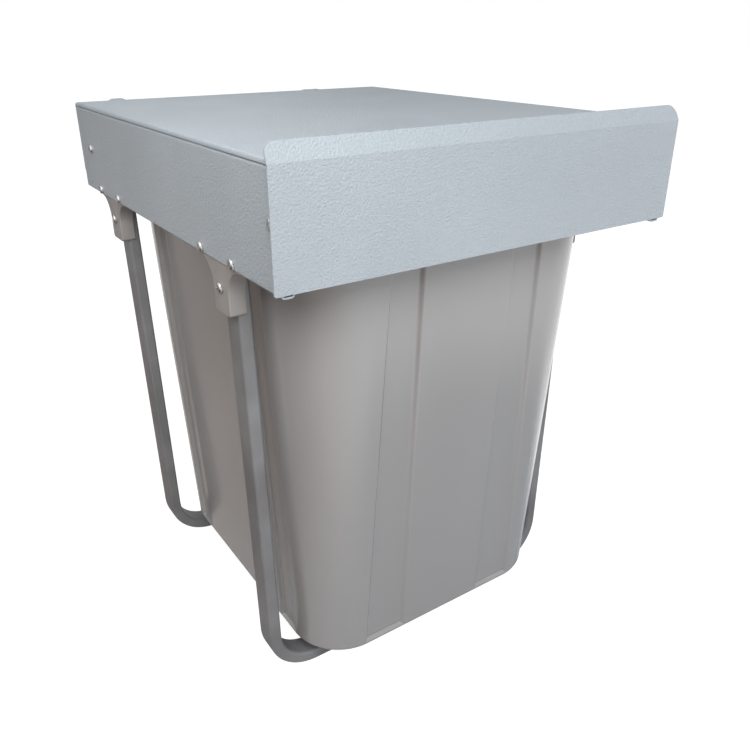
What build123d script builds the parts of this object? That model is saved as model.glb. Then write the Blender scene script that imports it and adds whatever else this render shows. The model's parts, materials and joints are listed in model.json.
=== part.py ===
# Pull out bin frame for a base cabinet, with one lift-out bin.
# A sheet steel cover stays in the cabinet. Under it, two ball-bearing slides carry a
# drawer frame: a front plate and two side walls, with two U-shaped tube hoops that
# hang from moulded brackets and hold the bin.
# X is the width, Y the depth with the front plate at -Y, Z is up. The frame stands
# on the hoops at Z = 0, centred on X and Y. All sizes are in millimetres.
import os
from build123d import *

os.makedirs("parts", exist_ok=True)

# Overall sizes
frame_width = 340.0
frame_depth = 412.0
plate_lift = 382.5
cover_rise = 75.6
sheet = 1.2
overrun = 5.0

# Front plate
plate_overhang = 5.0
plate_bend_rise = 74.6
flange_rise = 11.4
flange_setback = 4.0
plate_corner_left = 6.5
plate_corner_right = 11.0
plate_foot_corner = 1.5
plate_bend_radius = 1.5
return_depth = 15.0
return_tab_gap = 1.0
return_edge_gap = 1.5

# Top cover
cover_lip = 3.0
cover_rear_drop = 62.0
cover_front_gap = 6.0
cover_edge_radius = 2.4
cover_gap = 0.3
fixing_hole_radius = 2.5
fixing_hole_inset = 60.0
fixing_hole_drop = 48.0
fixing_hole_step = 16.0

# Rear fixing plates, with the rounded tops that stand just above the cover
fixing_plate_widths = (20.0, 28.0)
fixing_plate_insets = (40.0, 84.0)
fixing_plate_rises = (1.3, 0.5)
fixing_plate_drop = 28.0
fixing_plate_sheet = 1.5
fixing_rivet_drops = (8.0, 20.0)
fixing_rivet_radius = 1.6
fixing_rivet_head_radius = 3.2
fixing_rivet_head_height = 1.2
fixing_plate_corner = 6.0
rivet_dome_share = 0.7

# Side walls
wall_drop = 2.5
wall_top_flange = 10.0
wall_hem = 9.0
wall_hem_rise = 5.0
wall_bend_radius = 1.0
wall_front_gap = 1.2
hem_notch_margin = 2.0
hem_bar_margin = 3.0

# Rear cross bar between the side walls
bar_rise = 13.0
bar_depth = 14.0
bar_tab = 8.0
bar_setback = 8.0

# Slides: three nested rails with two ball cages on each side
slide_front_gap = 4.5
slide_rear_gap = 7.5
slide_thickness = 12.7
slide_rise = 38.5
outer_rail_height = 45.0
outer_ball_radius = 2.35
inner_ball_radius = 2.45
rail_steel = 1.2
rail_step = 1.0
rail_nose_gap = 0.9
rail_lip = 0.9
ball_clearance = 0.05
ball_rows = 6
ball_pitch = 30.0
cage_steel = 0.5
cage_clearance = 0.25
middle_rail_inset = 1.0
cage_flange = 8.0
cage_hole_clearance = 0.15
cage_end_margin = 12.0
bumper_length = 4.0
bumper_gap = 0.3

# Hangers that carry the slides under the cover
hanger_steel = 1.5
hanger_flange = 14.0
hanger_margin = 1.0
hanger_rivet_radius = 2.0
hanger_rivet_head_radius = 3.5
hanger_rivet_head_height = 1.2
hanger_rivet_inset = 60.0

# Hoops, bent from flat-sided tube
tube_thickness = 11.0
tube_width = 21.5
tube_wall = 1.2
tube_corner = 2.6
hoop_bend_radius = 45.0
hoop_top_inset = 7.0
hoop_bottom_inset = 13.8
hoop_top_gap = 3.0
front_hoop_setback = 94.0
rear_hoop_setback = 79.5

# Moulded brackets
bracket_thickness = 12.7
bracket_half_width = 12.5
ear_half_width = 36.0
ear_rise = 11.5
ear_foot_drop = 3.6
ear_fillet = 20.0
ear_top_fillet = 4.0
ear_tip_fillet = 2.0
bracket_drop = 39.5
bracket_foot_fillet = 2.5
bracket_edge_fillet = 0.8
bracket_slot_clearance = 0.2

# Screws
screw_head_radius = 4.0
screw_head_height = 2.4
screw_head_edge = 0.9
screw_shank_radius = 1.9
screw_recess_width = 1.0
screw_recess_length = 4.4
screw_recess_depth = 1.1
screw_hole_clearance = 0.1
screw_tip_gap = 0.5
slide_screw_length = 5.5
bracket_screw_length = 11.0
hoop_screw_length = 9.0
ear_screw_spread = 25.6
ear_screw_rise = 2.3
hoop_screw_drop = 20.6
front_screw_rise = 40.0
front_screw_setback = 8.5
rear_screw_rise = 37.0
rear_screw_setback = 38.0

# Bin
bin_top_side_gap = 22.5
bin_base_side_gap = 41.5
bin_top_rear_gap = 44.5
bin_base_rear_gap = 59.5
bin_top_corner = 60.0
bin_base_corner = 48.0
bin_wall = 2.6
bin_rim_rise = 66.0
bin_rim_width = 3.0
bin_rim_depth = 9.0
bin_top_front_gap = 27.5
bin_base_front_gap = 48.5
bin_shift = 1.0
bin_foot_drop = 15.7
bin_foot_inset = 16.0
bin_band_rise = 3.0
bin_band_inset = 1.0
bin_edge_fillet = 0.6
bin_seat_gap = 0.3
bin_base_fillet = 1.5
panel_half_width = 43.5
panel_top_drop = 7.0
panel_corner = 5.0
strip_top_half_width = 69.0
strip_base_half_width = 82.0
side_panel_half_width = 80.0
side_strip_half_width = 105.0
strip_depth = 3.0
strip_base_margin = 4.5
strip_top_rise = 30.0

# Places worked out from the sizes above
half_frame = frame_width / 2
front_y = -frame_depth / 2
rear_y = frame_depth / 2
cover_top = plate_lift + cover_rise
cover_under = cover_top - sheet
wall_bottom = plate_lift - wall_drop
wall_top = cover_top - cover_lip - cover_gap
cover_front_y = front_y + cover_front_gap
cover_rear_y = rear_y - fixing_plate_sheet
hoop_ys = (front_y + front_hoop_setback, rear_y - rear_hoop_setback)
slide_z = plate_lift + slide_rise
slide_front_y = front_y + slide_front_gap
slide_length = frame_depth - slide_front_gap - slide_rear_gap
cage_front_y = slide_front_y + slide_length / 4
slide_mid_y = slide_front_y + slide_length / 2
wall_inner_x = -half_frame + sheet
hanger_face_x = wall_inner_x + slide_thickness
left_turn = (0, -90, 0)
right_turn = (0, 90, 0)
back_turn = (-90, 0, 0)
front_turn = (90, 0, 0)


def finish(builder, label):
    """Label a finished piece and write its file."""
    builder.part.label = label
    export_step(builder.part, f"parts/{label}.step")


def mirrored(builder):
    """Give the right-hand copy of a left-hand piece."""
    with BuildPart() as right_piece:
        mirror(builder.part, about=Plane.YZ)
    return right_piece


def strip_sketch(points, radius, thickness, plane=Plane.XZ):
    """Section of a bent sheet: a rounded path, thickened to its right."""
    with BuildSketch(plane) as section:
        with BuildLine():
            FilletPolyline(*points, radius=radius)
            offset(amount=thickness, side=Side.RIGHT)
        make_face()
    return section


def pan_screw(shank_length):
    """Cross-recessed pan head screw along Z, seated at Z = 0."""
    with BuildPart() as screw:
        with BuildSketch(Plane.XZ):
            with BuildLine():
                Polyline(
                    (0, screw_head_height),
                    (0, -shank_length),
                    (screw_shank_radius, -shank_length),
                    (screw_shank_radius, 0),
                    (screw_head_radius, 0),
                    (screw_head_radius, screw_head_edge),
                )
                JernArc(
                    start=(screw_head_radius, screw_head_edge),
                    tangent=(0, 1),
                    radius=screw_head_height - screw_head_edge,
                    arc_size=90,
                )
                Line(
                    (screw_head_radius - screw_head_height + screw_head_edge, screw_head_height),
                    (0, screw_head_height),
                )
            make_face()
        revolve(axis=Axis.Z)
        with Locations((0, 0, screw_head_height)):
            for length, width in (
                (screw_recess_length, screw_recess_width),
                (screw_recess_width, screw_recess_length),
            ):
                Box(length, width, 2 * screw_recess_depth, mode=Mode.SUBTRACT)
    return screw.part


def side_holes(places, radius, depth=overrun):
    """Holes along X at these places, to this depth on both sides of each."""
    with Locations(*[Location(place, left_turn) for place in places]):
        Cylinder(radius, 2 * depth, mode=Mode.SUBTRACT)


def placed(shape, places, turn):
    """A group of equal solids, turned and put at each place."""
    with BuildPart() as group:
        with Locations(*[Location(place, turn) for place in places]):
            add(shape)
    return group


def both_sides(builder):
    """Give a left-hand piece together with its mirror image."""
    with BuildPart() as pair:
        add(builder.part)
        mirror(builder.part, about=Plane.YZ)
    return pair


# Fastener places on the left side; the right side mirrors them
ear_screw_places = [
    (-half_frame, y + shift, plate_lift + ear_screw_rise)
    for y in hoop_ys
    for shift in (-ear_screw_spread, ear_screw_spread)
]
hoop_screw_places = [(wall_inner_x, y, plate_lift - hoop_screw_drop) for y in hoop_ys]
front_screw_place = (-half_frame, front_y + front_screw_setback, plate_lift + front_screw_rise)
rear_screw_place = (-half_frame, rear_y - rear_screw_setback, plate_lift + rear_screw_rise)
screw_hole_radius = screw_shank_radius + screw_hole_clearance

# Front plate: upright face, top flange leaning back, and return tabs at both sides
plate_half = half_frame + plate_overhang
flange_top_z = plate_lift + plate_bend_rise + flange_rise
with BuildPart() as front_plate:
    plate_section = strip_sketch(
        [
            (front_y, plate_lift),
            (front_y, plate_lift + plate_bend_rise),
            (front_y + flange_setback, flange_top_z),
        ],
        plate_bend_radius,
        sheet,
        Plane.YZ,
    )
    extrude(plate_section.sketch, amount=plate_half, both=True)
    with BuildSketch(Plane.XZ.offset(-front_y + overrun)) as plate_outline:
        with BuildLine():
            FilletPolyline(
                (-plate_half, plate_lift),
                (-plate_half, flange_top_z),
                (plate_half, flange_top_z),
                (plate_half, plate_lift),
                radius=[plate_foot_corner, plate_corner_left, plate_corner_right, plate_foot_corner],
                close=True,
            )
        make_face()
    extrude(amount=-(flange_setback + 2 * overrun + sheet), mode=Mode.INTERSECT)
    tab_x = half_frame - sheet - sheet / 2
    tab_spans = (
        (plate_lift + return_edge_gap, slide_z - outer_rail_height / 2 - return_tab_gap),
        (slide_z + outer_rail_height / 2 + return_tab_gap, wall_top - sheet - return_edge_gap),
    )
    for low_z, high_z in tab_spans:
        with Locations((-tab_x, front_y + sheet, low_z), (tab_x, front_y + sheet, low_z)):
            Box(sheet, return_depth, high_z - low_z, align=(Align.CENTER, Align.MIN, Align.MIN))
finish(front_plate, "front_plate")

# Rear cross bar: a channel that keeps the side walls parallel, with a tab at each end
bar_y = rear_y - bar_setback - bar_depth / 2
bar_z = wall_bottom + bar_rise / 2
bar_tab_y = bar_y - bar_depth / 2 - bar_tab / 2
with BuildPart() as rear_cross_bar:
    with Locations((0, bar_y, bar_z)):
        Box(2 * (half_frame - sheet), bar_depth, bar_rise)
    with Locations((0, bar_y + sheet, bar_z + sheet)):
        Box(2 * (half_frame - 2 * sheet), bar_depth, bar_rise, mode=Mode.SUBTRACT)
    bar_tab_x = half_frame - sheet - sheet / 2
    with Locations((-bar_tab_x, bar_tab_y, bar_z), (bar_tab_x, bar_tab_y, bar_z)):
        Box(sheet, bar_tab, bar_rise)
finish(rear_cross_bar, "rear_cross_bar")

# Side wall: one bent sheet with a flange along the top and a hem along the bottom
wall_front_y = front_y + wall_front_gap
wall_rear_y = cover_rear_y - sheet - cover_gap
hem_notch = 2 * (ear_half_width + hem_notch_margin)
with BuildPart() as left_side_wall:
    wall_section = strip_sketch(
        [
            (-half_frame + wall_hem, wall_bottom + wall_hem_rise),
            (-half_frame + wall_hem, wall_bottom),
            (-half_frame, wall_bottom),
            (-half_frame, wall_top),
            (-half_frame + wall_top_flange, wall_top),
        ],
        wall_bend_radius + sheet,
        sheet,
        Plane.XZ.offset(-wall_front_y),
    )
    extrude(wall_section.sketch, amount=-(wall_rear_y - wall_front_y))
    with Locations(*[(wall_inner_x, y, wall_bottom - overrun) for y in hoop_ys]):
        Box(
            wall_hem + sheet,
            hem_notch,
            wall_hem_rise + 2 * overrun,
            align=(Align.MIN, Align.CENTER, Align.MIN),
            mode=Mode.SUBTRACT,
        )
    with Locations((wall_inner_x, wall_rear_y + overrun, wall_bottom - overrun)):
        Box(
            wall_hem + sheet,
            wall_rear_y + overrun - (bar_tab_y - bar_tab / 2 - hem_bar_margin),
            wall_hem_rise + 2 * overrun,
            align=(Align.MIN, Align.MAX, Align.MIN),
            mode=Mode.SUBTRACT,
        )
    side_holes(ear_screw_places + [front_screw_place, rear_screw_place], screw_hole_radius)
finish(left_side_wall, "left_side_wall")
right_side_wall = mirrored(left_side_wall)
finish(right_side_wall, "right_side_wall")

# Top cover: a shallow tray upside down, deep only at the rear
cover_depth = cover_rear_y - cover_front_y
cover_mid_y = (cover_rear_y + cover_front_y) / 2
plate_xs = (-half_frame + fixing_plate_insets[0], half_frame - fixing_plate_insets[1])
fixing_rivet_places = [(x, rear_y, cover_top - drop) for x in plate_xs for drop in fixing_rivet_drops]
with BuildPart() as top_cover:
    with Locations((0, cover_mid_y, cover_top)):
        Box(frame_width, cover_depth, cover_rear_drop, align=(Align.CENTER, Align.CENTER, Align.MAX))
    fillet(top_cover.faces().sort_by(Axis.Z)[-1].edges(), radius=cover_edge_radius)
    offset(amount=-sheet, openings=top_cover.faces().sort_by(Axis.Z)[0])
    with Locations((0, cover_rear_y - sheet, cover_top - cover_lip)):
        Box(
            frame_width + 2 * overrun,
            cover_depth + overrun,
            cover_rear_drop,
            align=(Align.CENTER, Align.MAX, Align.MAX),
            mode=Mode.SUBTRACT,
        )
    fixing_holes = [
        (side * (half_frame - fixing_hole_inset), cover_rear_y, cover_top - drop)
        for side in (-1, 1)
        for drop in (fixing_hole_drop - 2 * fixing_hole_step, fixing_hole_drop)
    ]
    with Locations(*[Location(place, back_turn) for place in fixing_holes]):
        Cylinder(fixing_hole_radius, 2 * overrun, mode=Mode.SUBTRACT)
    with Locations(*[Location(place, back_turn) for place in fixing_rivet_places]):
        Cylinder(fixing_rivet_radius, 2 * overrun, mode=Mode.SUBTRACT)
finish(top_cover, "top_cover")

# Rear fixing plates: riveted behind the cover, with rounded tops just above it
with BuildPart() as rear_fixing_plates:
    for x, width, rise in zip(plate_xs, fixing_plate_widths, fixing_plate_rises):
        with BuildSketch(Plane.XZ.offset(-cover_rear_y)):
            with Locations((x, cover_top + (rise - fixing_plate_drop) / 2)):
                RectangleRounded(width, rise + fixing_plate_drop, fixing_plate_corner)
        extrude(amount=-fixing_plate_sheet)
    with Locations(*[Location(place, back_turn) for place in fixing_rivet_places]):
        Cylinder(fixing_rivet_radius, 2 * overrun, mode=Mode.SUBTRACT)
finish(rear_fixing_plates, "rear_fixing_plates")


def rivet(radius, grip, head_radius, head_height):
    """Domed rivet along Z: the grip runs down from Z = 0, the head stands on it."""
    with BuildPart() as body:
        Cylinder(radius, grip, align=(Align.CENTER, Align.CENTER, Align.MAX))
        Cylinder(head_radius, head_height, align=(Align.CENTER, Align.CENTER, Align.MIN))
        fillet(body.edges().sort_by(Axis.Z)[-1], radius=head_height * rivet_dome_share)
    return body.part


fixing_plate_rivets = placed(
    rivet(
        fixing_rivet_radius,
        sheet + fixing_plate_sheet,
        fixing_rivet_head_radius,
        fixing_rivet_head_height,
    ),
    [(x, cover_rear_y - sheet, z) for x, y, z in fixing_rivet_places],
    front_turn,
)
finish(fixing_plate_rivets, "fixing_plate_rivets")

# Slides: each rail is a channel along Y; u runs from the hanger towards the side wall
outer_half = outer_rail_height / 2
middle_half = outer_half - rail_steel - 2 * (outer_ball_radius + ball_clearance)
inner_half = middle_half - rail_step - 2 * (inner_ball_radius + ball_clearance)
middle_u = rail_steel + 2 * cage_clearance + cage_steel
outer_ball_v = (outer_half - rail_steel + middle_half) / 2
inner_ball_v = (middle_half - rail_step + inner_half) / 2


def rail(height, web_u, flange_u, steel, lip, length, front):
    """Channel rail on the left side: web at web_u, flanges that reach flange_u."""
    web_x, flange_x = hanger_face_x - web_u, hanger_face_x - flange_u
    low_x, high_x = min(web_x, flange_x), max(web_x, flange_x)
    web_side = 1 if web_x > flange_x else -1
    with BuildPart() as channel:
        with BuildSketch(Plane.XZ.offset(-front)) as section:
            with Locations(((low_x + high_x) / 2, slide_z)):
                Rectangle(high_x - low_x, height)
            with Locations(((low_x + high_x) / 2 - web_side * steel, slide_z)):
                Rectangle(high_x - low_x, height - 2 * steel, mode=Mode.SUBTRACT)
            if lip:
                lip_x = flange_x + web_side * steel / 2
                lip_z = height / 2 - steel - lip / 2
                with Locations((lip_x, slide_z + lip_z), (lip_x, slide_z - lip_z)):
                    Rectangle(steel, lip)
        extrude(section.sketch, amount=-length)
    return channel


moving_rail_length = slide_length - bumper_length - bumper_gap
left_outer_rail = rail(
    outer_rail_height,
    0,
    slide_thickness - rail_nose_gap,
    rail_steel,
    rail_lip,
    slide_length,
    slide_front_y,
)
left_middle_rail = rail(
    2 * middle_half,
    middle_u,
    slide_thickness - rail_steel - rail_nose_gap,
    rail_step,
    0,
    moving_rail_length - middle_rail_inset,
    slide_front_y + middle_rail_inset,
)
left_inner_rail = rail(
    2 * inner_half,
    slide_thickness,
    middle_u + rail_step + 2 * cage_clearance + cage_steel,
    rail_steel,
    0,
    moving_rail_length,
    slide_front_y,
)
with left_inner_rail:
    side_holes([front_screw_place, rear_screw_place], screw_hole_radius)
hanger_rivet_ys = (
    slide_front_y + hanger_rivet_inset,
    slide_mid_y,
    slide_front_y + slide_length - hanger_rivet_inset,
)
hanger_rivet_places = [(hanger_face_x + hanger_steel, y, slide_z) for y in hanger_rivet_ys]
with left_outer_rail:
    side_holes(hanger_rivet_places, hanger_rivet_radius)

# Bumpers: a block at the rear end of each outer rail, which stops the two moving rails
with BuildPart() as left_bumper:
    with Locations((hanger_face_x - rail_steel, slide_front_y + slide_length, slide_z)):
        Box(
            slide_thickness - rail_nose_gap - 2 * rail_steel,
            bumper_length,
            outer_rail_height - 2 * rail_steel,
            align=(Align.MAX, Align.MAX, Align.CENTER),
        )
finish(both_sides(left_bumper), "slide_bumpers")

# Hangers: angle sections under the cover, riveted to the outer rails
hanger_front_y = cover_front_y + cover_edge_radius
with BuildPart() as left_hanger:
    hanger_section = strip_sketch(
        [
            (hanger_face_x, slide_z - outer_rail_height / 2 - hanger_margin),
            (hanger_face_x, cover_under),
            (hanger_face_x + hanger_flange, cover_under),
        ],
        wall_bend_radius + hanger_steel,
        hanger_steel,
        Plane.XZ.offset(-hanger_front_y),
    )
    extrude(hanger_section.sketch, amount=-(slide_front_y + slide_length - hanger_front_y))
    side_holes(hanger_rivet_places, hanger_rivet_radius)
finish(left_hanger, "left_hanger")
finish(mirrored(left_hanger), "right_hanger")
left_hanger_rivets = placed(
    rivet(
        hanger_rivet_radius,
        hanger_steel + rail_steel,
        hanger_rivet_head_radius,
        hanger_rivet_head_height,
    ),
    hanger_rivet_places,
    right_turn,
)
finish(both_sides(left_hanger_rivets), "hanger_rivets")


def ball_cage(web_u, flange_v, ball_radius, front):
    """Cage on the left side: a strip with two flanges full of ball holes."""
    ball_ys = [front + cage_end_margin + row * ball_pitch for row in range(ball_rows)]
    length = 2 * cage_end_margin + (ball_rows - 1) * ball_pitch
    ball_x = hanger_face_x - web_u - cage_flange / 2
    with BuildPart() as cage:
        with Locations((hanger_face_x - web_u, front, slide_z)):
            Box(cage_steel, length, 2 * flange_v, align=(Align.MAX, Align.MIN, Align.CENTER))
        for side in (-1, 1):
            with Locations((hanger_face_x - web_u, front, slide_z + side * flange_v)):
                Box(cage_flange, length, cage_steel, align=(Align.MAX, Align.MIN, Align.CENTER))
        with Locations(*[(ball_x, y, slide_z) for y in ball_ys]):
            Cylinder(ball_radius + cage_hole_clearance, 2 * flange_v + 2 * overrun, mode=Mode.SUBTRACT)
    with BuildPart() as balls:
        with Locations(*[(ball_x, y, slide_z + side * flange_v) for y in ball_ys for side in (-1, 1)]):
            Sphere(ball_radius)
    return cage, balls


left_outer_cage, left_outer_balls = ball_cage(
    rail_steel + cage_clearance, outer_ball_v, outer_ball_radius, cage_front_y
)
left_inner_cage, left_inner_balls = ball_cage(
    middle_u + rail_step + cage_clearance, inner_ball_v, inner_ball_radius, cage_front_y
)

for name, piece in (
    ("outer_rail", left_outer_rail),
    ("middle_rail", left_middle_rail),
    ("inner_rail", left_inner_rail),
    ("outer_cage", left_outer_cage),
    ("inner_cage", left_inner_cage),
    ("outer_balls", left_outer_balls),
    ("inner_balls", left_inner_balls),
):
    finish(piece, f"left_{name}")
    finish(mirrored(piece), f"right_{name}")

# Brackets: moulded blocks under the wall edges, with two ears and a slot for a hoop leg
slot_floor_x = -half_frame + hoop_top_inset - bracket_slot_clearance
ear_foot_z = plate_lift - ear_foot_drop
bracket_foot_z = plate_lift - bracket_drop
for hoop_y, place in zip(hoop_ys, ("front", "rear")):
    with BuildPart() as left_bracket:
        with BuildSketch(Plane.YZ.offset(wall_inner_x)) as bracket_outline:
            with BuildLine():
                FilletPolyline(
                    (hoop_y - ear_half_width, plate_lift + ear_rise),
                    (hoop_y + ear_half_width, plate_lift + ear_rise),
                    (hoop_y + ear_half_width, ear_foot_z),
                    (hoop_y + bracket_half_width, ear_foot_z),
                    (hoop_y + bracket_half_width, bracket_foot_z),
                    (hoop_y - bracket_half_width, bracket_foot_z),
                    (hoop_y - bracket_half_width, ear_foot_z),
                    (hoop_y - ear_half_width, ear_foot_z),
                    radius=[
                        ear_top_fillet,
                        ear_top_fillet,
                        ear_tip_fillet,
                        ear_fillet,
                        bracket_foot_fillet,
                        bracket_foot_fillet,
                        ear_fillet,
                        ear_tip_fillet,
                    ],
                    close=True,
                )
            make_face()
        extrude(amount=bracket_thickness)
        fillet(left_bracket.edges().filter_by(Axis.X, reverse=True), radius=bracket_edge_fillet)
        with Locations((slot_floor_x, hoop_y, plate_lift - hoop_top_gap + bracket_slot_clearance)):
            Box(
                bracket_thickness + overrun,
                tube_width + 2 * bracket_slot_clearance,
                bracket_drop + overrun,
                align=(Align.MIN, Align.CENTER, Align.MAX),
                mode=Mode.SUBTRACT,
            )
        side_holes(ear_screw_places, screw_hole_radius, bracket_screw_length + screw_tip_gap)
        side_holes(hoop_screw_places, screw_hole_radius, hoop_screw_length + screw_tip_gap)
    finish(left_bracket, f"{place}_left_bracket")
    finish(mirrored(left_bracket), f"{place}_right_bracket")

# Hoops: flat-sided tube, bent into a U whose legs lean in a little towards the floor
leg_top_x = half_frame - hoop_top_inset - tube_thickness / 2
leg_foot_x = half_frame - hoop_bottom_inset - tube_thickness / 2
for hoop_y, place in zip(hoop_ys, ("front", "rear")):
    with BuildPart() as hoop:
        with BuildLine() as hoop_path:
            FilletPolyline(
                (-leg_top_x, hoop_y, plate_lift - hoop_top_gap),
                (-leg_foot_x, hoop_y, tube_thickness / 2),
                (leg_foot_x, hoop_y, tube_thickness / 2),
                (leg_top_x, hoop_y, plate_lift - hoop_top_gap),
                radius=hoop_bend_radius - tube_thickness / 2,
            )
        with BuildSketch(Plane(origin=hoop_path.line @ 0, x_dir=(0, 1, 0), z_dir=hoop_path.line % 0)):
            RectangleRounded(tube_width, tube_thickness, tube_corner)
            RectangleRounded(
                tube_width - 2 * tube_wall,
                tube_thickness - 2 * tube_wall,
                tube_corner - tube_wall,
                mode=Mode.SUBTRACT,
            )
        sweep()
        side_holes(hoop_screw_places, screw_hole_radius, hoop_screw_length + screw_tip_gap)
        right_places = [(-x, y, z) for x, y, z in hoop_screw_places]
        side_holes(right_places, screw_hole_radius, hoop_screw_length + screw_tip_gap)
    finish(hoop, f"{place}_hoop")

# Screws, all with their heads on the outside
finish(both_sides(placed(pan_screw(bracket_screw_length), ear_screw_places, left_turn)), "bracket_screws")
finish(both_sides(placed(pan_screw(hoop_screw_length), hoop_screw_places, left_turn)), "hoop_screws")
slide_screw = pan_screw(slide_screw_length)
finish(both_sides(placed(slide_screw, [front_screw_place], left_turn)), "front_corner_screws")
finish(both_sides(placed(slide_screw, [rear_screw_place], left_turn)), "rear_slide_screws")

# Bin: a tapered tub with a set-in base band, which stands on the two hoops on a narrower foot
bin_foot_z = tube_thickness + bin_seat_gap
bin_base_z = bin_foot_z + bin_foot_drop
bin_top_z = plate_lift + bin_rim_rise
bin_base_width = frame_width - 2 * bin_base_side_gap
bin_top_width = frame_width - 2 * bin_top_side_gap
bin_base_depth = frame_depth - bin_base_front_gap - bin_base_rear_gap
bin_top_depth = frame_depth - bin_top_front_gap - bin_top_rear_gap
bin_base_y = (bin_base_front_gap - bin_base_rear_gap) / 2
bin_top_y = (bin_top_front_gap - bin_top_rear_gap) / 2


def bin_section(z, inset):
    """Rounded rectangle of the tapered tub at this height, set in from its outside."""
    rise_share = (z - bin_base_z) / (bin_top_z - bin_base_z)
    middle_y = bin_base_y + rise_share * (bin_top_y - bin_base_y)
    width = bin_base_width + rise_share * (bin_top_width - bin_base_width)
    depth = bin_base_depth + rise_share * (bin_top_depth - bin_base_depth)
    with BuildSketch(Plane((bin_shift, middle_y, z))) as section:
        corner = bin_base_corner + rise_share * (bin_top_corner - bin_base_corner)
        RectangleRounded(width - 2 * inset, depth - 2 * inset, corner - inset)
    return section.sketch


def tapered_block(low_z, high_z, inset):
    """Solid between two heights that follows the tub's taper."""
    with BuildPart() as block:
        loft([bin_section(low_z, inset), bin_section(high_z, inset)])
    return block.part


strip_low_z = bin_base_z + strip_base_margin
strip_high_z = plate_lift + strip_top_rise
strip_mid_z = (strip_low_z + strip_high_z) / 2
panel_top_z = plate_lift - panel_top_drop
bin_mid_y = (bin_base_y + bin_top_y) / 2
side_strip_width = side_strip_half_width - side_panel_half_width
side_strip_mid = (side_strip_half_width + side_panel_half_width) / 2


def pressed_strips(inset, growth):
    """Blocks that press the strips into all four sides, down to this inset of the tub."""
    with BuildPart() as strips:
        with BuildSketch(Plane.XZ):
            with BuildLine():
                Polyline(
                    (bin_shift - strip_base_half_width - growth, strip_low_z - growth),
                    (bin_shift - strip_top_half_width - growth, strip_high_z + growth),
                    (bin_shift + strip_top_half_width + growth, strip_high_z + growth),
                    (bin_shift + strip_base_half_width + growth, strip_low_z - growth),
                    close=True,
                )
            make_face()
            with Locations((bin_shift, panel_top_z - growth)):
                RectangleRounded(
                    2 * (panel_half_width - growth),
                    2 * (panel_top_z - growth - strip_low_z),
                    panel_corner,
                    mode=Mode.SUBTRACT,
                )
            with Locations((bin_shift, strip_low_z - growth)):
                Rectangle(
                    2 * (panel_half_width - growth),
                    panel_top_z - strip_low_z - panel_corner,
                    align=(Align.CENTER, Align.MIN),
                    mode=Mode.SUBTRACT,
                )
        extrude(amount=frame_depth, both=True)
        with BuildSketch(Plane.YZ):
            with Locations(
                (bin_mid_y - side_strip_mid, strip_mid_z),
                (bin_mid_y + side_strip_mid, strip_mid_z),
            ):
                Rectangle(side_strip_width + 2 * growth, strip_high_z - strip_low_z + 2 * growth)
        extrude(amount=frame_width, both=True)
        add(tapered_block(bin_base_z - growth, bin_top_z + growth, inset), mode=Mode.SUBTRACT)
    return strips.part


with BuildPart() as bin_cavity:
    add(tapered_block(bin_base_z + bin_wall, bin_top_z, bin_wall))
    add(pressed_strips(strip_depth + bin_wall, bin_wall), mode=Mode.SUBTRACT)
with BuildPart() as bin_body:
    add(tapered_block(bin_base_z + bin_band_rise, bin_top_z, 0))
    fillet(bin_body.edges().group_by(Axis.Z)[0], radius=bin_edge_fillet)
    add(tapered_block(bin_base_z, bin_base_z + 2 * bin_band_rise, bin_band_inset))
    fillet(bin_body.edges().group_by(Axis.Z)[0], radius=bin_base_fillet)
    add(pressed_strips(strip_depth, 0), mode=Mode.SUBTRACT)
    add(tapered_block(bin_top_z - bin_rim_depth, bin_top_z, -bin_rim_width))
    extrude(bin_section(bin_base_z, bin_foot_inset), amount=bin_wall)
    extrude(bin_section(bin_base_z, bin_foot_inset), amount=-bin_foot_drop)
    add(bin_cavity.part, mode=Mode.SUBTRACT)
    extrude(
        bin_section(bin_base_z + bin_wall, bin_foot_inset + bin_wall),
        amount=-bin_foot_drop,
        mode=Mode.SUBTRACT,
    )
finish(bin_body, "bin")
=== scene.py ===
import json
import math

import bmesh
import bpy
from mathutils import Euler, Matrix, Vector


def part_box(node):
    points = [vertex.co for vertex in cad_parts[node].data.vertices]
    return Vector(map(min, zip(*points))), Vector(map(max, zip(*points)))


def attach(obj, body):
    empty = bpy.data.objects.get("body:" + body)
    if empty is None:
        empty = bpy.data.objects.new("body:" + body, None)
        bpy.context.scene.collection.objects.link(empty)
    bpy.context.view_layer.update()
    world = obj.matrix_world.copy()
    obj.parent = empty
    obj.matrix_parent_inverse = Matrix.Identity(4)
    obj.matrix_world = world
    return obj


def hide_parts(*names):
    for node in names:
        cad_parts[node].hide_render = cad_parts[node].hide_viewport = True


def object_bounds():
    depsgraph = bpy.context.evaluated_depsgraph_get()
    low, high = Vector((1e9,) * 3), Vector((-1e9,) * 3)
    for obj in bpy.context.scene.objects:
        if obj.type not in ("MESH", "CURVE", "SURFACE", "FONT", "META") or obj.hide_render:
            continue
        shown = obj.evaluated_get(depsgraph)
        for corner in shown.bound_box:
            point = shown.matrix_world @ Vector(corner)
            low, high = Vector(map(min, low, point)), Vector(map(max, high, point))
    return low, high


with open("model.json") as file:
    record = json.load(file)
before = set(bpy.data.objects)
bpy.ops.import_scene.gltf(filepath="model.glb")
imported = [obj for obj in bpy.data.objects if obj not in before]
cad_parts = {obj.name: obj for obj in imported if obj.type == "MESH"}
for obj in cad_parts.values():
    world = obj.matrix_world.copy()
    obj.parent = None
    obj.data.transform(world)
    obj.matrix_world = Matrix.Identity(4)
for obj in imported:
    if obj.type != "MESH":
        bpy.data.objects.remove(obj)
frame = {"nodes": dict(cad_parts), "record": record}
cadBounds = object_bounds()
bodies = frame["record"]["behaviour"]["bodies"]
nodeBody = {node: body for body, nodes in bodies.items() for node in nodes}
nodeSlot = {entry["node"]: entry["material_slot"] for entry in frame["record"]["subparts"]}
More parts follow.
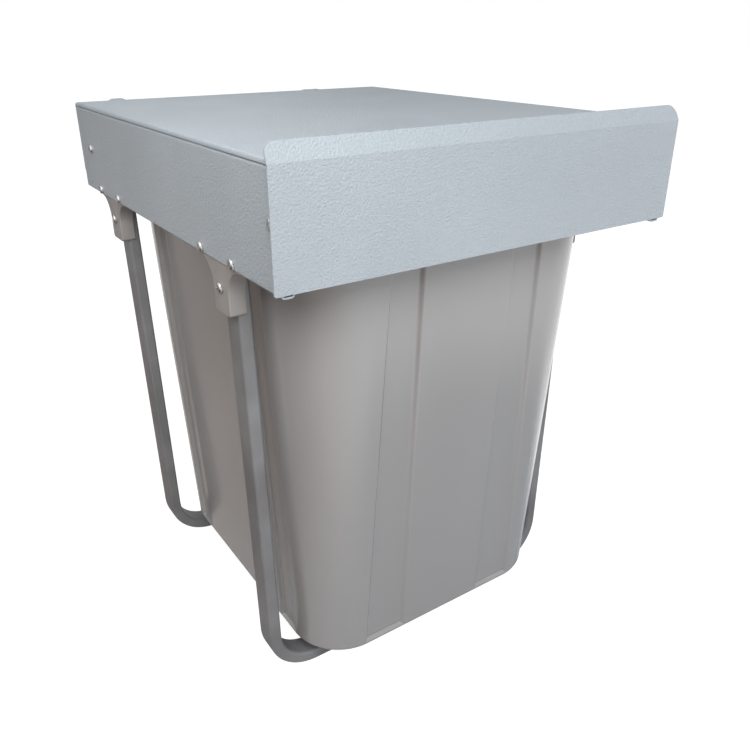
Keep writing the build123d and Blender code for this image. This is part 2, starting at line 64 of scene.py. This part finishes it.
print("frame loaded:", len(frame["nodes"]), "nodes")


# Materials: every finish is a small node tree on object coordinates, in metres

grainSpan = (0.35, 0.65)  # most of a noise lies between these values
toneSpan = (0.3, 0.7)


def addNode(tree, kind, **inputs):
    node = tree.nodes.new(kind)
    for name, value in inputs.items():
        node.inputs[name.replace("_", " ")].default_value = value
    return node


def newMaterial(name):
    material = bpy.data.materials.new(name)
    material.use_nodes = True
    tree = material.node_tree
    return material, tree, tree.nodes["Principled BSDF"]


def objectPoint(tree, stretch=(1, 1, 1)):
    place = tree.nodes.new("ShaderNodeTexCoord")
    mapping = addNode(tree, "ShaderNodeMapping", Scale=stretch)
    tree.links.new(place.outputs["Object"], mapping.inputs["Vector"])
    return mapping.outputs["Vector"]


def noise(tree, point, size, detail=2.0, roughness=0.5):  # size is the width of one grain
    texture = addNode(tree, "ShaderNodeTexNoise", Scale=1 / size, Detail=detail, Roughness=roughness)
    tree.links.new(point, texture.inputs["Vector"])
    return texture.outputs["Fac"]


def spread(tree, value, low, high, span=grainSpan):
    remap = addNode(tree, "ShaderNodeMapRange")
    for name, number in zip(("From Min", "From Max", "To Min", "To Max"), (*span, low, high)):
        remap.inputs[name].default_value = number
    tree.links.new(value, remap.inputs["Value"])
    return remap.outputs["Result"]


def tones(tree, value, dark, light, span=toneSpan):
    ramp = tree.nodes.new("ShaderNodeValToRGB")
    for element, position, colour in zip(ramp.color_ramp.elements, span, (dark, light)):
        element.position = position
        element.color = (*colour, 1)
    tree.links.new(value, ramp.inputs["Fac"])
    return ramp.outputs["Color"]


def blendColours(tree, share, base, top):
    mix = tree.nodes.new("ShaderNodeMix")
    mix.data_type = "RGBA"
    tree.links.new(share, mix.inputs["Factor"])
    tree.links.new(base, mix.inputs["A"])
    mix.inputs["B"].default_value = (*top, 1)
    return mix.outputs["Result"]


def bump(tree, height, depth, strength=1.0, under=None):  # depth is in metres
    node = addNode(tree, "ShaderNodeBump", Strength=strength, Distance=depth)
    tree.links.new(height, node.inputs["Height"])
    if under:
        tree.links.new(under, node.inputs["Normal"])
    return node.outputs["Normal"]


def blendShaders(tree, share, base, top, output="Material Output"):
    mix = tree.nodes.new("ShaderNodeMixShader")
    tree.links.new(share, mix.inputs["Fac"])
    tree.links.new(base, mix.inputs[1])
    tree.links.new(top, mix.inputs[2])
    tree.links.new(mix.outputs["Shader"], tree.nodes[output].inputs["Surface"])


# Hammered powder coat on all the bent sheet

hammeredCoat = {
    "dark": (0.385, 0.424, 0.455),
    "light": (0.465, 0.508, 0.543),
    "dimple": 0.0014,
    "dimpleDetail": 1.5,
    "dimpleShare": 0.5,  # how much of the tone comes from the dimples
    "dimpleDepth": 0.0007,
    "cloud": 0.09,
    "cloudDetail": 3.0,
    "cloudTones": (0.17, 0.33),
    "grit": 0.0007,
    "gritDepth": 0.00005,
    "roughness": (0.40, 0.50),
    "metallic": 0.15,
    "speck": 0.06,  # distance between dark specks
    "speckColour": (0.10, 0.10, 0.10),
    "speckEdge": (0.006, 0.009),
}


def makeHammeredCoat(look):
    material, tree, shader = newMaterial("hammeredCoat")
    point = objectPoint(tree)
    dimple = noise(tree, point, look["dimple"], look["dimpleDetail"])
    cloud = noise(tree, point, look["cloud"], look["cloudDetail"])
    tone = tree.nodes.new("ShaderNodeMath")
    tone.operation = "MULTIPLY_ADD"
    tone.inputs[1].default_value = look["dimpleShare"]
    tree.links.new(dimple, tone.inputs[0])
    tree.links.new(spread(tree, cloud, *look["cloudTones"], toneSpan), tone.inputs[2])
    colour = tones(tree, tone.outputs["Value"], look["dark"], look["light"])
    cells = addNode(tree, "ShaderNodeTexVoronoi", Scale=1 / look["speck"])
    tree.links.new(point, cells.inputs["Vector"])
    speck = spread(tree, cells.outputs["Distance"], 1, 0, look["speckEdge"])
    tree.links.new(blendColours(tree, speck, colour, look["speckColour"]), shader.inputs["Base Color"])
    tree.links.new(spread(tree, dimple, *look["roughness"]), shader.inputs["Roughness"])
    grit = bump(tree, noise(tree, point, look["grit"]), look["gritDepth"])
    tree.links.new(bump(tree, dimple, look["dimpleDepth"], under=grit), shader.inputs["Normal"])
    shader.inputs["Metallic"].default_value = look["metallic"]
    return material


# Satin powder coat on the hoops, moulded bracket plastic and the rubber of the bumpers

plainCoats = {
    "hoopCoat": {
        "slot": "hoop_paint",
        "dark": (0.175, 0.172, 0.174),
        "light": (0.25, 0.25, 0.256),
        "grain": 0.0016,
        "depth": 0.00016,
        "roughness": (0.38, 0.52),
        "metallic": 0.1,
    },
    "bracketPlastic": {
        "slot": "bracket_plastic",
        "dark": (0.28, 0.258, 0.243),
        "light": (0.345, 0.32, 0.305),
        "grain": 0.0009,
        "depth": 0.00007,
        "roughness": (0.42, 0.56),
        "metallic": 0.0,
    },
    "bumperRubber": {
        "slot": "bumper_rubber",
        "dark": (0.018, 0.018, 0.018),
        "light": (0.035, 0.035, 0.035),
        "grain": 0.001,
        "depth": 0.00008,
        "roughness": (0.7, 0.85),
        "metallic": 0.0,
    },
}
fineGrain = {"detail": 3.0, "roughness": 0.6}
cloudWidth = 30  # a soft cloud of tone is this many grains wide


def makePlainCoat(name, look):
    material, tree, shader = newMaterial(name)
    point = objectPoint(tree)
    grain = noise(tree, point, look["grain"], **fineGrain)
    cloud = noise(tree, point, look["grain"] * cloudWidth)
    tree.links.new(tones(tree, cloud, look["dark"], look["light"]), shader.inputs["Base Color"])
    tree.links.new(spread(tree, grain, *look["roughness"]), shader.inputs["Roughness"])
    tree.links.new(bump(tree, grain, look["depth"]), shader.inputs["Normal"])
    shader.inputs["Metallic"].default_value = look["metallic"]
    return material


# Zinc plated steel, drawn along the slides or turned on the screws, and the bright balls

zincSteels = {
    "slideZinc": {
        "slot": "slide_steel",
        "tone": (0.52, 0.53, 0.55),
        "streak": (1, 0.03, 1),
        "size": 0.0012,
        "roughness": (0.24, 0.42),
    },
    "screwZinc": {
        "slot": "zinc_fasteners",
        "tone": (0.74, 0.74, 0.73),
        "streak": (1, 1, 1),
        "size": 0.0009,
        "roughness": (0.18, 0.34),
    },
    "ballSteel": {
        "slot": "ball_steel",
        "tone": (0.66, 0.67, 0.69),
        "streak": (1, 1, 1),
        "size": 0.003,
        "roughness": (0.07, 0.14),
    },
}
zincDarkShare = 0.82
zincGrainDepth = 0.00002


def makeZinc(name, look):
    material, tree, shader = newMaterial(name)
    grain = noise(tree, objectPoint(tree, look["streak"]), look["size"], **fineGrain)
    darker = tuple(zincDarkShare * part for part in look["tone"])
    tree.links.new(tones(tree, grain, darker, look["tone"]), shader.inputs["Base Color"])
    tree.links.new(spread(tree, grain, *look["roughness"]), shader.inputs["Roughness"])
    tree.links.new(bump(tree, grain, zincGrainDepth), shader.inputs["Normal"])
    shader.inputs["Metallic"].default_value = 1.0
    return material


# Glossy moulded plastic of the bin

binPlastic = {
    "dark": (0.296, 0.287, 0.282),
    "light": (0.332, 0.325, 0.322),
    "cloud": 0.12,
    "cloudSpan": (0.1, 0.9),
    "stretch": (1, 1, 0.25),  # clouds and waves run up the walls
    "wave": 0.075,
    "waveDetail": 1.0,
    "waveDepth": 0.0011,
    "waveStrength": 0.6,
    "fine": 0.0012,
    "fineDepth": 0.000012,
    "roughness": (0.20, 0.28),
    "gloss": 0.8,
    "glossRoughness": 0.13,
    "glossIor": 1.7,
}


def makeBinPlastic(look):
    material, tree, shader = newMaterial("binPlastic")
    tall = objectPoint(tree, look["stretch"])
    point = objectPoint(tree)
    cloud = noise(tree, tall, look["cloud"])
    colour = tones(tree, cloud, look["dark"], look["light"], look["cloudSpan"])
    tree.links.new(colour, shader.inputs["Base Color"])
    tree.links.new(spread(tree, cloud, *look["roughness"], look["cloudSpan"]), shader.inputs["Roughness"])
    waves = noise(tree, tall, look["wave"], look["waveDetail"])
    wave = bump(tree, waves, look["waveDepth"], look["waveStrength"])
    fine = bump(tree, noise(tree, point, look["fine"]), look["fineDepth"], under=wave)
    tree.links.new(fine, shader.inputs["Normal"])
    shader.inputs["Coat Weight"].default_value = look["gloss"]
    shader.inputs["Coat Roughness"].default_value = look["glossRoughness"]
    shader.inputs["Coat IOR"].default_value = look["glossIor"]
    return material


materials = {"frame_paint": makeHammeredCoat(hammeredCoat), "bin_plastic": makeBinPlastic(binPlastic)}
for name, look in plainCoats.items():
    materials[look["slot"]] = makePlainCoat(name, look)
for name, look in zincSteels.items():
    materials[look["slot"]] = makeZinc(name, look)
print("materials made:", len(materials))


# Rigid pieces: the frame's own shapes with softened edges

edgeSoftness = {  # radius of the softened edge of each finish, in metres
    "frame_paint": 0.00035,
    "hoop_paint": 0.0003,
    "bracket_plastic": 0.0003,
    "slide_steel": 0.0002,
    "zinc_fasteners": 0.00015,
    "bumper_rubber": 0.0003,
    "ball_steel": 0,
}
edgeSegments = 2
flatAngle = math.radians(0.5)
edgeAngle = math.radians(38)
weldDistance = 1e-6


def cleanMesh(source, name):
    shape = bmesh.new()
    shape.from_mesh(source)
    bmesh.ops.remove_doubles(shape, verts=shape.verts, dist=weldDistance)
    bmesh.ops.dissolve_limit(shape, angle_limit=flatAngle, verts=shape.verts, edges=shape.edges)
    shape.verts.index_update()
    mesh = bpy.data.meshes.new(name)
    points = [vert.co.copy() for vert in shape.verts]
    mesh.from_pydata(points, [], [[vert.index for vert in face.verts] for face in shape.faces])
    shape.free()
    return mesh


def softEdges(piece, radius):
    if radius:
        bevel = piece.modifiers.new("softEdges", "BEVEL")
        bevel.width = radius
        bevel.segments = edgeSegments
        bevel.limit_method = "ANGLE"
        bevel.angle_limit = edgeAngle
    normals = piece.modifiers.new("evenNormals", "WEIGHTED_NORMAL")
    normals.keep_sharp = True


def placePiece(mesh, name, node):
    piece = bpy.data.objects.new(name, mesh)
    bpy.context.scene.collection.objects.link(piece)
    mesh.materials.append(materials[nodeSlot[node]])
    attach(piece, nodeBody[node])
    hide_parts(node)
    return piece


def finishedName(node):  # left_side_wall becomes leftSideWallFinished
    first, *rest = node.split("_")
    return first + "".join(word.capitalize() for word in rest) + "Finished"


for node in sorted(nodeSlot):
    if node == "bin":
        continue
    finished = cleanMesh(frame["nodes"][node].data, finishedName(node))
    finished.shade_smooth()
    softEdges(placePiece(finished, finishedName(node), node), edgeSoftness[nodeSlot[node]])
print("rigid pieces finished:", len(nodeSlot) - 1)


# Bin: one closed skin of rings, each a rounded rectangle with the recessed strips pressed in

binLow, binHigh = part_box("bin")
binShape = {
    "rim": 0.003,
    "rimDrop": 0.009,
    "rimRound": 0.0012,
    "rimEdge": 0.0006,
    "rimNeck": 0.002,
    "wall": 0.0026,
    "topCorner": 0.060,
    "baseCorner": 0.048,
    "baseWidth": 0.257,
    "baseDepth": 0.304,
    "baseRear": 0.0595,  # how far the base's rear edge stands in from the cover's rear
    "footDrop": 0.0157,
    "footInset": 0.016,
    "footRound": 0.0015,
    "footMargin": 0.004,
    "footStep": 0.001,
    "bandRise": 0.003,
    "bandInset": 0.001,
    "bandRound": 0.0015,
    "bandMargin": 0.0003,
    "edgeRound": 0.0006,
    "insideLow": 0.012,  # the inside's walls end and its rounded floor edge starts
    "insideRound": 0.006,
    "panelHalf": 0.0435,
    "panelTop": 0.3755,
    "panelCorner": 0.007,
    "stripHalfTop": 0.069,
    "stripHalfBase": 0.082,
    "sideStrip": (0.080, 0.105),
    "stripTop": 0.4125,
    "stripLow": 0.0045,
    "stripDepth": 0.0034,
    "stepWidth": 0.0038,
}
stepOffsets = (-0.0035, -0.0023, -0.0017, -0.0011, -0.0005, 0, 0.0005, 0.0011, 0.0017, 0.0023, 0.0035)
panelEdgeShifts = (0.003, 0.001, -0.0005)
binGrid = {
    "cornerSteps": 22,
    "faceSteps": 8,
    "stripSteps": 4,
    "roundSteps": 5,
    "edgeSteps": 3,
    "lowSpan": (-0.0009, 0.0035),  # levels about the strips' lower end
    "lowSteps": 6,
    "wallSteps": 24,
    "panelReach": 0.011,  # levels about the panel's upper corners
    "panelStep": 0.0008,
    "panelSteps": 19,
    "topReach": 0.003,
    "topSteps": 3,
}
binEdgeAngle = math.radians(42)


def between(low, high, count):
    return [low + (high - low) * step / (count + 1) for step in range(1, count + 1)]


def smoothStep(value, width):
    share = min(max(value / width + 0.5, 0), 1)
    return share * share * (3 - 2 * share)


def evenInset(inset):
    return Vector((inset, inset))


baseZ = binLow.z + binShape["footDrop"]
stripLowZ = baseZ + binShape["stripLow"]
topMiddle = (binLow + binHigh) / 2
topHalf = (binHigh - binLow).to_2d() / 2 - evenInset(binShape["rim"])
baseHalf = Vector((binShape["baseWidth"], binShape["baseDepth"])) / 2
baseMiddleY = cadBounds[1].y - binShape["baseRear"] - baseHalf.y


def stripHalf(z):
    share = (z - stripLowZ) / (binShape["stripTop"] - stripLowZ)
    return binShape["stripHalfBase"] + share * (binShape["stripHalfTop"] - binShape["stripHalfBase"])


def faceOffsets(face, z):  # distances from a face's middle line at which a column of points stands
    if face % 2:
        inner, outer = binShape["sideStrip"]
    else:
        inner, outer = binShape["panelHalf"], stripHalf(z)
    first = [inner - binShape["panelCorner"] - shift for shift in panelEdgeShifts]
    first += [inner + shift for shift in stepOffsets]
    last = [outer + shift for shift in stepOffsets]
    half = first + between(first[-1], last[0], binGrid["stripSteps"]) + last
    middle = between(-half[0], half[0], binGrid["faceSteps"])
    return [-offset for offset in reversed(half)] + middle + half


def panelDistance(offset, z):
    corner = binShape["panelCorner"]
    across = abs(offset) - (binShape["panelHalf"] - corner)
    above = z - (binShape["panelTop"] - corner)
    if across > 0 and above > 0:
        return math.hypot(across, above) - corner
    return max(across, above) - corner


def recessDepth(face, offset, z):
    if face % 2:
        inside = min(abs(offset) - binShape["sideStrip"][0], binShape["sideStrip"][1] - abs(offset))
    else:
        inside = min(stripHalf(z) - abs(offset), panelDistance(offset, z))
    inside = min(inside, binShape["stripTop"] - z, z - stripLowZ)
    return binShape["stripDepth"] * smoothStep(inside, binShape["stepWidth"])


def outlinePoint(distance, halfX, halfY, corner):  # a point and its way out, counted from the front's middle
    quarter = math.pi * corner / 2
    lengths = (halfX - corner, quarter, 2 * (halfY - corner), quarter, 2 * (halfX - corner), quarter)
    lengths += (2 * (halfY - corner), quarter, halfX - corner)
    distance %= sum(lengths)
    point, heading = Vector((0, -halfY)), 0.0
    for index, length in enumerate(lengths):
        part = min(distance, length)
        if index % 2:
            turn = part / corner
            centre = point + corner * Vector((-math.sin(heading), math.cos(heading)))
            heading += turn
            point = centre - corner * Vector((-math.sin(heading), math.cos(heading)))
        else:
            point = point + part * Vector((math.cos(heading), math.sin(heading)))
        distance -= part
        if distance <= 0:
            break
    return point, Vector((math.sin(heading), -math.cos(heading)))


def binRing(z, inset, pressed):
    share = (z - baseZ) / (binHigh.z - baseZ)
    half = baseHalf.lerp(topHalf, share) - evenInset(inset)
    middle = Vector((topMiddle.x, baseMiddleY + share * (topMiddle.y - baseMiddleY)))
    corner = binShape["baseCorner"] + share * (binShape["topCorner"] - binShape["baseCorner"]) - inset
    quarterPath = half.x + half.y - 2 * corner + math.pi * corner / 2
    columns = [(face, face * quarterPath + offset, offset)
               for face in range(4) for offset in faceOffsets(face, z)]
    ring = []
    for index, (face, distance, offset) in enumerate(columns):
        nextFace, nextDistance, _ = columns[(index + 1) % len(columns)]
        stops = [(distance, recessDepth(face, offset, z) if pressed else 0)]
        if nextFace != face:
            nextDistance += 4 * quarterPath if nextDistance < distance else 0
            stops += [(stop, 0) for stop in between(distance, nextDistance, binGrid["cornerSteps"])]
        for stop, depth in stops:
            point, outward = outlinePoint(stop, half.x, half.y, corner)
            point = point + middle - depth * outward
            ring.append(Vector((point.x, point.y, z)))
    return ring


def quarterRound(radius, steps=binGrid["roundSteps"]):  # a quarter circle, from its first to its last tangent
    turns = [math.pi / 2 * step / steps for step in range(steps + 1)]
    return [(radius * math.sin(turn), radius * math.cos(turn)) for turn in turns]


def outerLevels():
    panelLow = binShape["panelTop"] - binGrid["panelReach"]
    levels = [stripLowZ + shift for shift in between(*binGrid["lowSpan"], binGrid["lowSteps"])]
    levels += between(levels[-1], panelLow, binGrid["wallSteps"])
    levels += [panelLow + binGrid["panelStep"] * step for step in range(binGrid["panelSteps"])]
    levels += between(levels[-1], binShape["stripTop"] - binGrid["topReach"], binGrid["topSteps"])
    levels += [binShape["stripTop"] + shift for shift in stepOffsets]
    return levels


def footRows():  # rows are (height, inset, whether the strips are pressed in)
    inset, radius, step = binShape["footInset"], binShape["footRound"], binShape["footStep"]
    rows = [(binLow.z, inset + radius + binShape["footMargin"], False)]
    rows += [(binLow.z + radius - c, inset + radius - s, False) for s, c in quarterRound(radius)]
    return rows + [(baseZ - step, inset, False), (baseZ, inset - step, False)]


def bandRows():
    inset, radius, edge = binShape["bandInset"], binShape["bandRound"], binShape["edgeRound"]
    top = baseZ + binShape["bandRise"]
    rows = [(baseZ + radius - c, inset + radius - s, False) for s, c in quarterRound(radius)]
    rows += [(top - binShape["bandMargin"], inset, False), (top, inset, False)]
    return rows + [(top + edge - c, edge - s, False) for s, c in quarterRound(edge, binGrid["edgeSteps"])]


def rimRows():
    rim, radius, edge, wall = (binShape[part] for part in ("rim", "rimRound", "rimEdge", "wall"))
    low = binHigh.z - binShape["rimDrop"]
    roundZ = binHigh.z - radius
    rows = [(low - binShape["rimNeck"], 0, False), (low, 0, False)]
    rows += [(low + edge - c, edge - rim - s, False) for s, c in quarterRound(edge, binGrid["edgeSteps"])]
    rows += [(roundZ + s, radius - rim - c, False) for s, c in quarterRound(radius)]
    return rows + [(roundZ + c, wall - radius + s, False) for s, c in quarterRound(radius)]


def insideRows():
    wall, radius = binShape["wall"], binShape["insideRound"]
    rows = [(z, wall, True) for z in reversed(outerLevels()) if z > baseZ + binShape["insideLow"]]
    return rows + [(baseZ + wall + radius - s, wall + radius - c, False) for s, c in quarterRound(radius)]


def makeBin():
    wallRows = [(z, 0, True) for z in outerLevels()]
    rings = [binRing(*row) for row in footRows() + bandRows() + wallRows + rimRows() + insideRows()]
    count = len(rings[0])
    points = [point for ring in rings for point in ring]
    faces = [list(range(count))[::-1], [(len(rings) - 1) * count + column for column in range(count)]]
    for row in range(len(rings) - 1):
        for column in range(count):
            after = (column + 1) % count
            low, high = row * count, (row + 1) * count
            faces.append([low + column, low + after, high + after, high + column])
    mesh = bpy.data.meshes.new("binSkin")
    mesh.from_pydata(points, [], faces)
    mesh.shade_smooth()
    mesh.set_sharp_from_angle(angle=binEdgeAngle)
    return placePiece(mesh, "binSkin", "bin")


binSkin = makeBin()
print("bin made:", len(binSkin.data.polygons), "faces")


# Floor and backdrop

stageLook = {
    "half": 15.0,
    "colour": (0.86, 0.86, 0.86, 1),
    "roughness": 0.9,
    "glow": 0.65,  # share of the floor that glows where it is looked at, so that it ends in white
    "glowStrength": 1.46,
}


def lookedAt(tree):  # 1 where a ray shows the background: from the camera, in gloss or through glass
    path = tree.nodes.new("ShaderNodeLightPath")
    total = path.outputs["Is Camera Ray"]
    for kind in ("Is Glossy Ray", "Is Transmission Ray"):
        add = tree.nodes.new("ShaderNodeMath")
        add.use_clamp = True
        tree.links.new(total, add.inputs[0])
        tree.links.new(path.outputs[kind], add.inputs[1])
        total = add.outputs["Value"]
    return total


def makeSheet(name, half, material):
    mesh = bpy.data.meshes.new(name)
    corners = [(-half, -half, 0), (half, -half, 0), (half, half, 0), (-half, half, 0)]
    mesh.from_pydata(corners, [], [(0, 1, 2, 3)])
    mesh.materials.append(material)
    sheet = bpy.data.objects.new(name, mesh)
    bpy.context.scene.collection.objects.link(sheet)
    return sheet


def makeFloor(look):
    material, tree, shader = newMaterial("paleFloor")
    shader.inputs["Base Color"].default_value = look["colour"]
    shader.inputs["Roughness"].default_value = look["roughness"]
    glow = addNode(tree, "ShaderNodeEmission", Strength=look["glowStrength"])
    seen = tree.nodes.new("ShaderNodeMath")
    seen.operation = "MULTIPLY"
    seen.inputs[1].default_value = look["glow"]
    tree.links.new(lookedAt(tree), seen.inputs[0])
    blendShaders(tree, seen.outputs["Value"], shader.outputs["BSDF"], glow.outputs["Emission"])
    makeSheet("floor", look["half"], material)


makeFloor(stageLook)


# Light: a dim room, warm on the left, and three soft boxes: in front, at the left and behind

roomLook = {
    "low": (0.72, 0.765, 0.81),
    "high": (0.15, 0.16, 0.17),
    "warm": (0.74, 0.67, 0.62),
    "highSpan": (0.15, 0.75),  # heights of the direction between which the room darkens
    "warmSpan": (-0.1, -0.9),  # how far to the left the room turns warm
}
lamps = {
    "frontBox": {
        "place": (-0.40, -0.95, 1.12),
        "size": 0.6,
        "power": 12,
        "colour": (0.97, 0.99, 1.0),
        "inGloss": False,  # its mirror image would bleach the cover in views from behind
    },
    "leftBox": {
        "place": (-0.55, -0.28, 0.84),
        "size": 0.35,
        "power": 1.6,
        "colour": (0.95, 0.98, 1.0),
        "inGloss": True,
    },
    "rearBox": {
        "place": (0.35, 1.6, 1.65),
        "size": 1.0,
        "power": 5.5,
        "colour": (0.95, 0.98, 1.0),
        "inGloss": True,
    },
}
lampAim = Vector((0, 0, 0.3))


def makeRoom(look):
    world = bpy.data.worlds.new("room")
    world.use_nodes = True
    bpy.context.scene.world = world
    tree = world.node_tree
    direction = tree.nodes.new("ShaderNodeSeparateXYZ")
    place = tree.nodes.new("ShaderNodeTexCoord")
    tree.links.new(place.outputs["Generated"], direction.inputs["Vector"])
    left = spread(tree, direction.outputs["X"], 0, 1, look["warmSpan"])
    warmth = tones(tree, left, look["low"], look["warm"], (0, 1))
    height = spread(tree, direction.outputs["Z"], 0, 1, look["highSpan"])
    room = tree.nodes["Background"]
    tree.links.new(blendColours(tree, height, warmth, look["high"]), room.inputs["Color"])
    white = addNode(tree, "ShaderNodeBackground", Color=(1, 1, 1, 1), Strength=1.0)
    shaders = (room.outputs["Background"], white.outputs["Background"])
    blendShaders(tree, lookedAt(tree), *shaders, "World Output")


def makeLamp(name, look):
    light = bpy.data.lights.new(name, "AREA")
    light.size = look["size"]
    light.energy = look["power"]
    light.color = look["colour"]
    holder = bpy.data.objects.new(name, light)
    bpy.context.scene.collection.objects.link(holder)
    holder.location = look["place"]
    holder.visible_camera = False
    holder.visible_glossy = look["inGloss"]
    holder.rotation_mode = "QUATERNION"
    holder.rotation_quaternion = (lampAim - Vector(look["place"])).to_track_quat("-Z", "Y")


makeRoom(roomLook)
for name, look in lamps.items():
    makeLamp(name, look)


# Cards that the camera doesn't see, as a studio uses to tint the light and to shape the gloss

cards = {
    "warmMat": {
        "middle": (-0.95, 0.35, 0.001),
        "size": (2.6, 3.6),
        "turn": 0,
        "standing": False,
        "tints": True,  # it also colours the light that bounces off the floor
        "tone": (0.34, 0.265, 0.225),
    },
    "darkMat": {
        "middle": (-0.85, 0.02, 0.002),
        "size": (1.8, 1.05),
        "turn": -10,
        "standing": False,
        "tints": False,
        "tone": (0.03, 0.025, 0.02),
    },
    "nearMat": {
        "middle": (0.15, -0.30, 0.003),
        "size": (1.1, 0.62),
        "turn": -25,
        "standing": False,
        "tints": False,
        "tone": (0.55, 0.57, 0.62),
    },
    "rearCard": {
        "middle": (1.2, 1.8, 0.6),
        "size": (7.6, 2.6),
        "turn": 0,
        "standing": True,
        "tints": False,
        "tone": (0.05, 0.05, 0.055),
    },
}
cardFeather = 0.55  # share of a card's half size over which it fades out
cardRoughness = 0.9


def makeCard(name, look):
    material, tree, shader = newMaterial(name)
    shader.inputs["Base Color"].default_value = (*look["tone"], 1)
    shader.inputs["Roughness"].default_value = cardRoughness
    disc = tree.nodes.new("ShaderNodeTexGradient")
    disc.gradient_type = "SPHERICAL"
    tree.links.new(objectPoint(tree), disc.inputs["Vector"])
    clear = tree.nodes.new("ShaderNodeBsdfTransparent")
    share = spread(tree, disc.outputs["Fac"], 0, 1, (0, cardFeather))
    blendShaders(tree, share, clear.outputs["BSDF"], shader.outputs["BSDF"])
    card = makeSheet(name, 1, material)
    card.location = look["middle"]
    card.scale = (look["size"][0] / 2, look["size"][1] / 2, 1)
    card.rotation_euler = (math.pi / 2 if look["standing"] else 0, 0, math.radians(look["turn"]))
    card.visible_camera = card.visible_shadow = False
    card.visible_diffuse = look["tints"]


for name, look in cards.items():
    makeCard(name, look)
print("stage and lights made")


# Camera at the photograph's place

cameraLook = {
    "place": (-0.3533, -0.5695, 0.5241),
    "tilt": 65.242,
    "heading": -33.843,
    "roll": -0.146,
    "lens": 35.735,
    "sensor": 36,
    "shift": (0.0063, -0.0096),
    "near": 0.01,
}


def makeCamera(look):
    data = bpy.data.cameras.new("camera")
    data.sensor_width = look["sensor"]
    data.lens = look["lens"]
    data.shift_x, data.shift_y = look["shift"]
    data.clip_start = look["near"]
    camera = bpy.data.objects.new("camera", data)
    bpy.context.scene.collection.objects.link(camera)
    aim = Euler((math.radians(look["tilt"]), 0, math.radians(look["heading"]))).to_matrix().to_4x4()
    roll = Matrix.Rotation(math.radians(look["roll"]), 4, "Z")
    camera.matrix_world = Matrix.Translation(look["place"]) @ aim @ roll
    bpy.context.scene.camera = camera


makeCamera(cameraLook)
bpy.context.scene.view_settings.view_transform = "Standard"
print("camera made")
